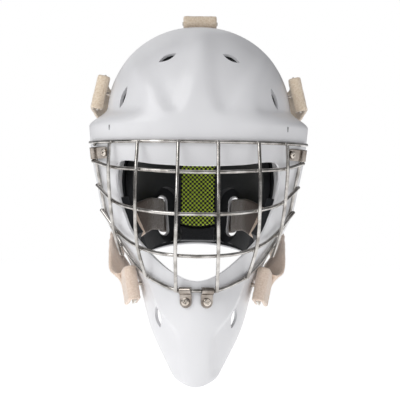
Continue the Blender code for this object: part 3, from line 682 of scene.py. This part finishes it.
def make_wire(name, route):
    """Round wire: a Bezier primitive redrawn as the route, bevelled, capped and made a mesh."""
    bpy.ops.object.select_all(action="DESELECT")
    bpy.ops.curve.primitive_bezier_curve_add()
    path = bpy.context.object.data
    path.splines.clear()
    run = path.splines.new("POLY")
    run.points.add(len(route) - 1)
    for knot, p in zip(run.points, route):
        knot.co = (*metres(p), 1)
    path.bevel_depth = WIRE / 2 * MM
    path.bevel_resolution = 5
    path.use_fill_caps = True
    bpy.ops.object.convert(target="MESH")
    piece = named(f"polished_{name}")
    merge(piece, 0.000001)
    rounded(piece, 0.5, 3)
    smooth(piece, 50)
    return dressed(piece, STEEL, "shell", "cage_steel", name)


def make_welds(routes):
    """A small flattened bead wherever two wires cross."""
    names = sorted(routes)
    beads = []
    for i, one in enumerate(names):
        for other in names[i + 1:]:
            gaps = np.linalg.norm(routes[one][:, None] - routes[other][None], axis=2)
            a, b = np.unravel_index(np.argmin(gaps), gaps.shape)
            if gaps[a, b] > WIRE + 2.0:
                continue
            middle = (routes[one][a] + routes[other][b]) / 2
            towards = Vector(routes[one][a] - routes[other][b])
            bpy.ops.object.select_all(action="DESELECT")
            bpy.ops.mesh.primitive_uv_sphere_add(segments=16, ring_count=10, radius=1)
            bead = named("weld")
            shape = Matrix.Diagonal((1.75 * MM, 1.75 * MM, 1.5 * MM, 1))
            bead.data.transform(Matrix.Translation(metres(middle)) @ towards.to_track_quat("Z", "Y")
                                .to_matrix().to_4x4() @ shape)
            beads.append(bead)
    pick(*beads)
    bpy.ops.object.join()
    welds = named("cage_weld_beads")
    smooth(welds, 60)
    return dressed(welds, STEEL, "shell", "cage_steel")


# Clips and screws ----------------------------------------------------------------------------------


def clip_section(reach):
    """The clip's middle line in (along, up): a flat foot that arches over the rim wire at reach."""
    radius = WIRE / 2 + 1.25
    foot = [(a, 1.1) for a in (*(-6.2 * np.cos(np.linspace(0.08, math.pi / 2, 9))), 2.0)]
    arch = [(reach - radius * math.cos(t), WIRE_STANDOFF + radius * math.sin(t))
            for t in np.linspace(0, math.pi, 21)]
    return foot + [(reach - radius - 0.3, 1.3)] + arch + [(reach + radius, 1.2)]


def make_clip(name, word, place, reach):
    rows = []
    for along, up in clip_section(reach):
        half = math.sqrt(max(6.2**2 - min(along, 0.0) ** 2, 0.4)) * 6.0 / 6.2
        rows.append([(along, b * half, up) for b in np.linspace(-1, 1, 13)])
    clip = grid_sheet(f"pressed_{name}_clip_{word}", np.array(rows))
    clip.data.transform(place)
    finish_with(clip, "SOLIDIFY", thickness=1.1 * MM, offset=0, use_even_offset=True, use_rim=True)
    rounded(clip, 0.3, 2)
    tidy_normals(clip)
    smooth(clip)
    return dressed(clip, PRESSED, "shell", "clip_steel", f"{name}_clip_{word}")


def make_screw(name, word, place):
    """A pan-head screw turned from a cylinder, with a cross recess."""
    bpy.ops.object.select_all(action="DESELECT")
    bpy.ops.mesh.primitive_cylinder_add(vertices=40, radius=4.0 * MM, depth=2.4 * MM,
                                        location=(0, 0, 3.1 * MM))
    screw = named(f"cross_head_{name}_screw_{word}")
    screw.data.transform(screw.matrix_world)
    screw.matrix_world = Matrix.Identity(4)
    rounded(screw, 1.5, 5)
    cutters = [prism(rounded_slot(0.95, 4.6, 16), 2.6, 6.0, Matrix.Rotation(turn, 4, "Z"))
               for turn in (0.3, 0.3 + math.pi / 2)]
    cut_with(screw, cutters[:1])
    cut_with(screw, cutters[1:])
    bpy.ops.object.select_all(action="DESELECT")
    bpy.ops.mesh.primitive_cylinder_add(vertices=24, radius=2.0 * MM, depth=10.4 * MM,
                                        location=(0, 0, -3.3 * MM))
    shank = named("shank")
    shank.data.transform(shank.matrix_world)
    shank.matrix_world = Matrix.Identity(4)
    finish_with(screw, "BOOLEAN", operation="UNION", solver="EXACT", object=shank)
    bpy.data.objects.remove(shank)
    screw.data.transform(place)
    smooth(screw, 30)
    return dressed(screw, SCREW, "shell", "fastener_steel", f"{name}_screw_{word}")


def make_clips():
    for name, (x, z) in CLIP_SCREWS.items():
        for side, word in SIDES:
            p = front_point(side * x, z)
            n = normal_at(outside_shell, p)
            rim_x = x if name == "chin" else float(rim_width(np.array(z)))
            target = rim_point(side * rim_x, RIM_LOW if name == "chin" else z)
            along = target - p
            reach = float(np.linalg.norm(along - n * (along @ n)))
            place = local_frame(p, along, n)
            make_clip(name, word, place, reach)
            make_screw(name, word, place)


# Liner ---------------------------------------------------------------------------------------------


def relaxed(points, rounds=6):
    """Rows of points averaged with their neighbours, so that a pad doesn't follow the shell's creases."""
    reach = np.linalg.norm(points - HEART, axis=-1, keepdims=True)
    for _ in range(rounds):
        inner = points.copy()
        inner[1:-1] = (points[:-2] + 2 * points[1:-1] + points[2:]) / 4
        points = inner.copy()
        points[:, 1:-1] = (inner[:, :-2] + 2 * inner[:, 1:-1] + inner[:, 2:]) / 4
    ray = points - HEART
    length = np.linalg.norm(ray, axis=-1, keepdims=True)
    return HEART + ray * np.minimum(1.0, reach / length)


def make_pad(name, points, thick, middle, finish, slot, body, node, soft=3.2, holes=()):
    """A foam pad: a curved sheet given its thickness, with the skin rolled over its edges."""
    pad = grid_sheet(name, relaxed(points))
    face_away(pad, middle)
    finish_with(pad, "SOLIDIFY", thickness=thick * MM, offset=-1, use_even_offset=False, use_rim=True)
    if holes:
        cut_with(pad, list(holes))
    rounded(pad, soft, 4)
    smooth(pad, 50)
    return dressed(pad, finish, body, slot, node)


def make_liner():
    under = SHELL_WALL + 6.6
    plan = [
        ("sweatband", (-1.75, 1.75), (0.03, 0.2), 9, SHELL_WALL + 1.4),
        ("forehead_pad", (-1.5, 1.5), (0.25, 0.52), 11, under),
        ("crown_pad", (-1.2, 1.2), (0.55, 0.97), 11, under),
        ("chin_pad", (8.1, 2 * LAST_STATION - 8.1), (0.02, 0.1), 7, SHELL_WALL + 1.4),
    ]
    for side, word in SIDES:
        plan.append((f"temple_pad_{word}", (side * 2.3, side * 3.9), (0.36, 0.92), 11, SHELL_WALL + 2.4))
        plan.append((f"jaw_pad_{word}", (side * 4.1, side * 6.0), (0.06, 1.03), 11, SHELL_WALL + 1.4))
    for node, stations, across, thick, sunk in plan:
        points = shell_grid(np.linspace(*stations, 61), np.linspace(*across, 41), sunk)
        make_pad(f"foam_{node}", points, thick, HEART, FOAM, "black_foam", "shell", node,
                 soft=2.0 if node == "chin_pad" else 3.0)


# Back plate ----------------------------------------------------------------------------------------

SLOT = (41.5, -18.5, 13.0, 43.0)
PAD_SEAM = 22.5
PAD_BOTTOM, PAD_TOP = -48.0, 112.0
PLATE_HEART = (0, 0, 30)


def plate_patch(x_span, z_span, sunk, columns, levels):
    """Points on the back plate: x_span gives the edges at a height, z_span those at a share across."""
    rows = []
    for a in np.linspace(0, 1, columns):
        low, high = z_span(a)
        z = low + (high - low) * np.linspace(0, 1, levels)
        edges = [x_span(level) for level in z]
        x = np.array([left + (right - left) * a for left, right in edges])
        rows.append(plate_point(x, z, sunk))
    return np.array(rows)


def whole_width(z):
    span = float(plate_half_span(np.array(z)))
    return -span, span


def whole_height(a):
    middle = (2 * a - 1) ** 2
    return -50 - 14 * middle, 136 - 26 * middle


def slot_cutter(side, grow):
    x, z, width, height = SLOT
    return prism(rounded_slot(width + grow, height + grow), -30, 10, plate_frame(side * x, z, (0, 0, 1)))


def make_back_plate():
    plate = grid_sheet("moulded_back_plate", plate_patch(whole_width, whole_height, 0.0, 121, 141))
    face_away(plate, PLATE_HEART)
    finish_with(plate, "SOLIDIFY", thickness=PLATE_WALL * MM, offset=-1, use_even_offset=True, use_rim=True)
    rounded(plate, 1.1, 3)
    holes = [prism(circle(SCREW_HOLE), -6, 6, plate_frame(x, z, along)) for x, z, along in RIVETED]
    cut_with(plate, [slot_cutter(side, 0.0) for side in (-1, 1)] + holes)
    smooth(plate)
    dressed(plate, PAINT, "backplate", "painted_backplate", "backplate_shell")

    # A thin dark sheet on the plate's inner face, standing back from the slots' pale rims: painted shade
    # inside the mask.
    def shade_sheet_width(z):
        left, right = whole_width(z)
        return left + 2, right - 2

    def shade_sheet_height(a):
        low, high = whole_height(a)
        return low + 2, high - 2

    sunk = PLATE_WALL + 0.15
    shade_sheet = grid_sheet("plate_painted_shade_sheet", plate_patch(shade_sheet_width, shade_sheet_height, sunk, 97, 113))
    face_away(shade_sheet, PLATE_HEART)
    finish_with(shade_sheet, "SOLIDIFY", thickness=1.2 * MM, offset=-1, use_even_offset=True, use_rim=True)
    cut_with(shade_sheet, [slot_cutter(side, 3.0) for side in (-1, 1)])
    smooth(shade_sheet)
    dressed(shade_sheet, PAINTED_SHADE_SHEET, "backplate", "black_foam")

    def strip(z):
        return -PAD_SEAM + 0.9, PAD_SEAM - 0.9

    def sagged(a, low):
        return low - 3 * (1 - (2 * a - 1) ** 2)

    sunk = PLATE_WALL + 2.3
    for node, finish, slot, heights in (
        ("backplate_center_pad", LIME, "lime_mesh", lambda a: (sagged(a, -28), PAD_TOP)),
        ("backplate_nape_pad", FOAM, "black_foam", lambda a: (PAD_BOTTOM, sagged(a, -32))),
    ):
        make_pad(f"foam_{node}", plate_patch(strip, heights, sunk, 41, 81), PLATE_PAD_THICK, PLATE_HEART,
                 finish, slot, "backplate", node, soft=2.4)
    for side, word in SIDES:
        def half(z, side=side):
            return side * (PAD_SEAM + 0.9), side * (float(plate_half_span(np.array(z))) - 3.5)

        points = plate_patch(half, lambda a: (PAD_BOTTOM - 12 * a**2, PAD_TOP - 16 * a), sunk, 61, 97)
        make_pad(f"foam_backplate_side_pad_{word}", points, PLATE_PAD_THICK, PLATE_HEART, FOAM, "black_foam",
                 "backplate", f"backplate_side_pad_{word}", soft=2.4, holes=[slot_cutter(side, 19.0)])


# Straps --------------------------------------------------------------------------------------------


def strap_routes():
    """Where each strap goes after its fold: (point, width direction) pairs, and its end on the plate."""
    across = (1, 0, 0)
    over_crown = [((0, 42, 188), across), ((0, 66, 177), across), ((0, 92, 162), across)]
    routes = {"top": (over_crown, (0, 112), (0, 0, 1))}
    for side, word in SIDES:
        outward = (side, 0, 0)
        round_temple = [
            ((side * 105, 18, 108), (side * -0.38, 0.0, 0.92)),
            ((side * 101, 62, 101), (side * -0.3, 0.0, 0.95)),
            ((side * 87, 92, 95), (side * -0.25, 0.0, 0.97)),
        ]
        routes[f"upper_{word}"] = (round_temple, (side * 58, 88), outward)
        outside = [
            ((side * 78.6, -27, -66), (side * 0.62, 0.1, 0.78)),
            ((side * 81.5, 6, -56), (side * 0.58, 0.1, 0.81)),
            ((side * 85.5, 29, -52), (side * 0.3, 0.1, 0.95)),
            ((side * 82, 50, -40), (0, 0.1, 1)),
        ]
        inside = [(71, 22.6), (64, 21.2), (56.5, 18.6), (51, 16), (47, 11), (43.5, 4.5), (40, -1),
                  (34, -4.3)]
        threaded = [(tuple(plate_point(side * x, SLOT[1], sunk)), (0, -0.12, -1)) for x, sunk in inside]
        routes[f"lower_{word}"] = (outside + threaded, (side * 18, SLOT[1]), outward)
    return routes


RIVETED = [(*end_at, along) for _, end_at, along in strap_routes().values()]


def at_frame(place, along, up):
    return np.array(place @ Vector((along * MM, 0, up * MM))) / MM


def strap_line(place, route, count=150):
    """Even points of a strap's centre line, with its width direction at each."""
    width = np.array(place.to_3x3() @ Vector((0, 1, 0)))
    radius = (UPPER_LAYER - LOWER_LAYER) / 2
    hub = (UPPER_LAYER + LOWER_LAYER) / 2
    line = [at_frame(place, a, LOWER_LAYER) for a in (-11, -3, 5)]
    line += [at_frame(place, KEEPER_HALF + radius * math.sin(t), hub - radius * math.cos(t))
             for t in np.linspace(0, math.pi, 9)]
    line += [at_frame(place, a, UPPER_LAYER) for a in (3, -5, -13)]
    widths = [width] * len(line)
    stops, end_at, end_along = route
    end = plate_frame(*end_at, end_along)
    line += [np.array(p, dtype=float) for p, _ in stops]
    line += [at_frame(end, a, LOWER_LAYER) for a in (12, 2, -9)]
    widths += [np.array(w, dtype=float) for _, w in stops]
    widths += [np.array(end.to_3x3() @ Vector((0, 1, 0)))] * 3
    for i in range(1, len(widths)):
        if widths[i] @ widths[i - 1] < 0:
            widths[i] = -widths[i]
    run = smooth_path(line, count)
    at = np.r_[0, np.cumsum(np.linalg.norm(np.diff(np.array(line), axis=0), axis=1))]
    along = np.linspace(0, at[-1], count)
    table = np.array(widths)
    spread = np.stack([np.interp(along, at, table[:, axis]) for axis in range(3)], axis=-1)
    return run, spread


def webbing_ring(width, thick, flat=14, turn=6):
    """Cross-section of webbing in (across, up): flat faces with rounded edges, as a closed ring."""
    radius = thick / 2
    reach = width / 2 - radius
    ring = [(-reach + 2 * reach * i / flat, radius) for i in range(flat)]
    turns = np.linspace(0, math.pi, turn + 1)
    ring += [(reach + radius * math.sin(t), radius * math.cos(t)) for t in turns[:-1]]
    ring += [(reach - 2 * reach * i / flat, -radius) for i in range(flat)]
    ring += [(-reach - radius * math.sin(t), -radius * math.cos(t)) for t in turns]
    return np.array(ring)


def make_strap(name, place, route):
    run, spread = strap_line(place, route)
    way = np.gradient(run, axis=0)
    way /= np.linalg.norm(way, axis=1, keepdims=True)
    spread = spread - way * np.sum(spread * way, axis=1, keepdims=True)
    spread /= np.linalg.norm(spread, axis=1, keepdims=True)
    up = np.cross(way, spread)
    ring = webbing_ring(STRAP_WIDTH, STRAP_THICK)
    rows = run[:, None] + ring[None, :, :1] * spread[:, None] + ring[None, :, 1:] * up[:, None]
    length = np.r_[0, np.cumsum(np.linalg.norm(np.diff(run, axis=0), axis=1))]
    girth = np.r_[0, np.cumsum(np.linalg.norm(np.diff(ring, axis=0), axis=1))]
    uv = np.stack(np.broadcast_arrays(girth[None, :], length[-1] - length[:, None]), axis=-1) * MM
    # Tufts and slack: slow waves across the webbing and fine fluff all over.
    for i, row in enumerate(rows):
        for j, p in enumerate(row):
            fluff = noise.noise(Vector(p) * 0.35) * 0.35 + noise.noise(Vector(p) * 0.09) * 0.45
            rows[i, j] = p + up[i] * fluff
    strap = grid_sheet(f"plush_{name}_strap", rows, uv)
    pick(strap)
    merge(strap, 0.000002)
    bpy.ops.object.mode_set(mode="EDIT")
    bpy.ops.mesh.select_all(action="DESELECT")
    bpy.ops.mesh.select_mode(type="EDGE")
    bpy.ops.mesh.select_non_manifold()
    bpy.ops.mesh.fill()
    bpy.ops.object.mode_set(mode="OBJECT")
    tidy_normals(strap)
    smooth(strap, 60)
    # Lower straps take the lighter plush copy: painted light on the face and painted shade at the inner end.
    plush = LIGHTENED_PLUSH_WITH_PAINTED_SHADE_END if name.startswith("lower") else PLUSH
    dressed(strap, plush, None, "tan_elastic", f"{name}_elastic_strap")
    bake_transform(strap)


def make_straps():
    routes = strap_routes()
    for name, place in strap_anchors().items():
        make_strap(name, place, routes[name])


def dress_small_parts():
    """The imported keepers, rivets and nuts keep their shapes and take the new finishes."""
    for name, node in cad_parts.items():
        if "keeper" in name and not name.endswith("rivet"):
            node.data.materials[0] = NYLON
        elif name.endswith(("_rivet", "_nut_left", "_nut_right")):
            node.data.materials[0] = SCREW


# Studio --------------------------------------------------------------------------------------------


def make_studio():
    bpy.ops.object.select_all(action="DESELECT")
    bpy.ops.mesh.primitive_plane_add(size=12, location=(0, 0, -0.27))
    floor = named("studio_floor")
    paper, _, _, _ = new_finish("matt_white_paper", Base_Color=linear("#F2F2F2"), Roughness=0.9,
                                Emission_Color=linear("#FFFFFF"), Emission_Strength=0.78)
    floor.data.materials.append(paper)
    for name, place, size, power in (
        ("key", (-1.6, -1.5, 1.5), 1.5, 27.0),
        ("fill", (1.9, -2.2, 0.5), 1.2, 4.0),
        ("top", (-0.3, -0.1, 2.4), 1.8, 8.0),
        ("rear", (-0.4, 2.3, 1.4), 1.8, 6.0),
    ):
        bpy.ops.object.light_add(type="AREA", location=place)
        lamp = bpy.context.object
        lamp.name = f"{name}_softbox"
        lamp.data.size = size
        lamp.data.energy = power
        lamp.rotation_euler = Vector(place).to_track_quat("Z", "Y").to_euler()
    world = bpy.data.worlds.new("studio")
    bpy.context.scene.world = world
    world.use_nodes = True
    tree = world.node_tree
    sky = tree.nodes["Background"]
    sky.inputs["Strength"].default_value = 1.0
    seen = add_node(tree, "ShaderNodeLightPath")
    tones = [("data_type", "RGBA"), (6, linear("#858587")), (7, linear("#FFFFFF"))]
    mix = add_node(tree, "ShaderNodeMix", tones, _0=seen.outputs["Is Camera Ray"])
    tree.links.new(mix.outputs[2], sky.inputs["Color"])


def make_camera():
    """Level with the eyes, 2 m in front, with a long lens."""
    lens_data = bpy.data.cameras.new("camera")
    lens_data.lens = 172
    lens_data.sensor_width = 36
    camera = bpy.data.objects.new("camera", lens_data)
    bpy.context.scene.collection.objects.link(camera)
    camera.location = (0.0024, -2.0, 0.0)
    camera.rotation_euler = (math.radians(90), math.radians(-0.75), 0)
    bpy.context.scene.camera = camera


make_studio()
make_camera()
make_shell()
wires = cage_routes()
for wire_name, wire_route in wires.items():
    make_wire(wire_name, wire_route)
make_welds(wires)
make_clips()
make_liner()
make_back_plate()
make_straps()
dress_small_parts()

bpy.context.view_layer.update()
